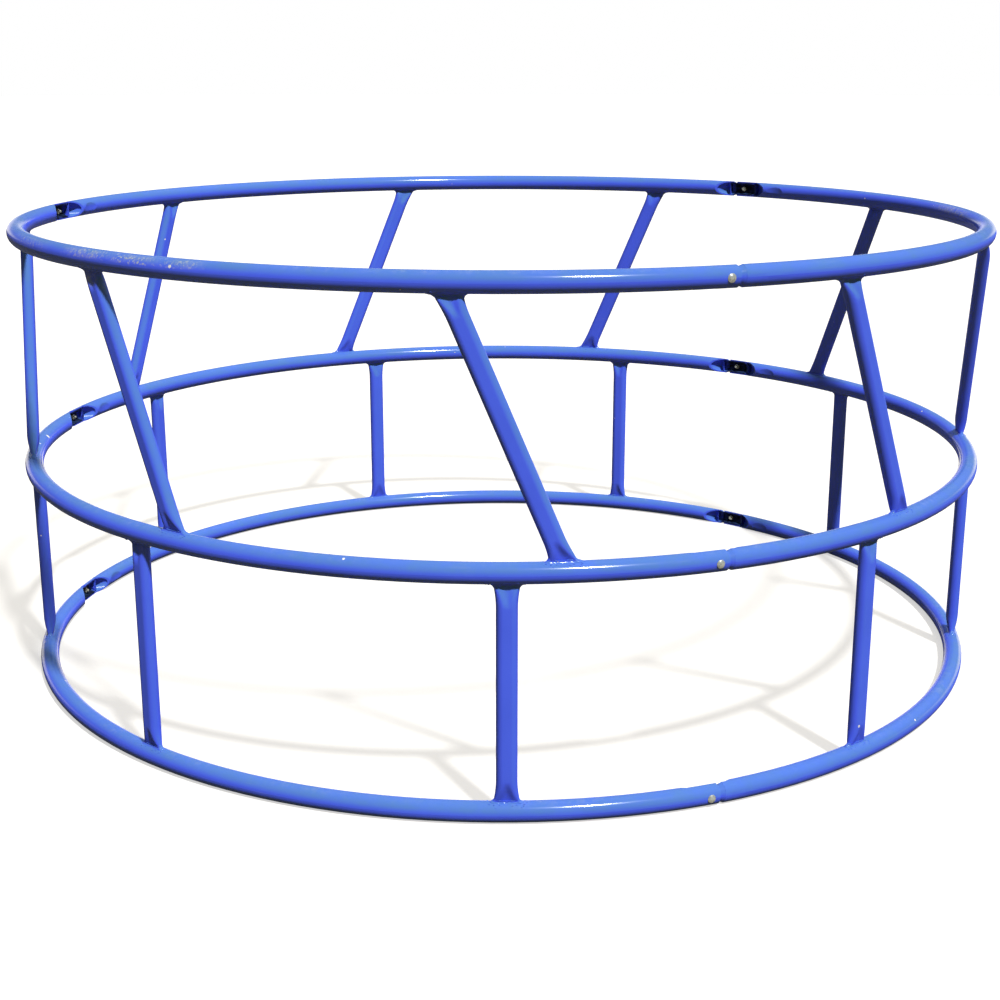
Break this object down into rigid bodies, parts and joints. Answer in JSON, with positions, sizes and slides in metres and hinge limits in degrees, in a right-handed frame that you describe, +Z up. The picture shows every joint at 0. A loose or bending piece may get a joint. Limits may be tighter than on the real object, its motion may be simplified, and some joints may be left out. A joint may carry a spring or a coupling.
{
  "type": "round bale feeder ring",
  "caption": "Round livestock hay feeder ring of blue painted steel tube, bolted from curved panels, with slanted head bars above and uprights below.",
  "frame": {"origin": "centre of the ring at ground level, on the plane that the bottom rails stand on", "axes": "+Z up; -Y towards the side that the picture was taken from; +X to the right in that view"},
  "size_m": [2.4378, 2.438, 1.1175],
  "materials": {
    "blue_paint": "glossy powder coat, lightly scuffed",
    "zinc": "bright zinc plate"
  },
  "bodies": {
    "root": {"panel_a_bottom_rail": "blue_paint", "panel_a_middle_rail": "blue_paint", "panel_a_top_rail": "blue_paint", "panel_b_bottom_rail": "blue_paint", "panel_b_middle_rail": "blue_paint", "panel_b_top_rail": "blue_paint", "panel_c_bottom_rail": "blue_paint", "panel_c_middle_rail": "blue_paint", "panel_c_top_rail": "blue_paint", "panel_a_head_bar_1": "blue_paint", "panel_a_head_bar_2": "blue_paint", "panel_a_head_bar_3": "blue_paint", "panel_b_head_bar_1": "blue_paint", "panel_b_head_bar_2": "blue_paint", "panel_b_head_bar_3": "blue_paint", "panel_c_head_bar_1": "blue_paint", "panel_c_head_bar_2": "blue_paint", "panel_c_head_bar_3": "blue_paint", "panel_a_upright_1": "blue_paint", "panel_a_upright_2": "blue_paint", "panel_a_upright_3": "blue_paint", "panel_b_upright_1": "blue_paint", "panel_b_upright_2": "blue_paint", "panel_b_upright_3": "blue_paint", "panel_c_upright_1": "blue_paint", "panel_c_upright_2": "blue_paint", "panel_c_upright_3": "blue_paint", "carriage_bolts": "zinc", "hex_nuts": "zinc"}
  },
  "joints": []
}
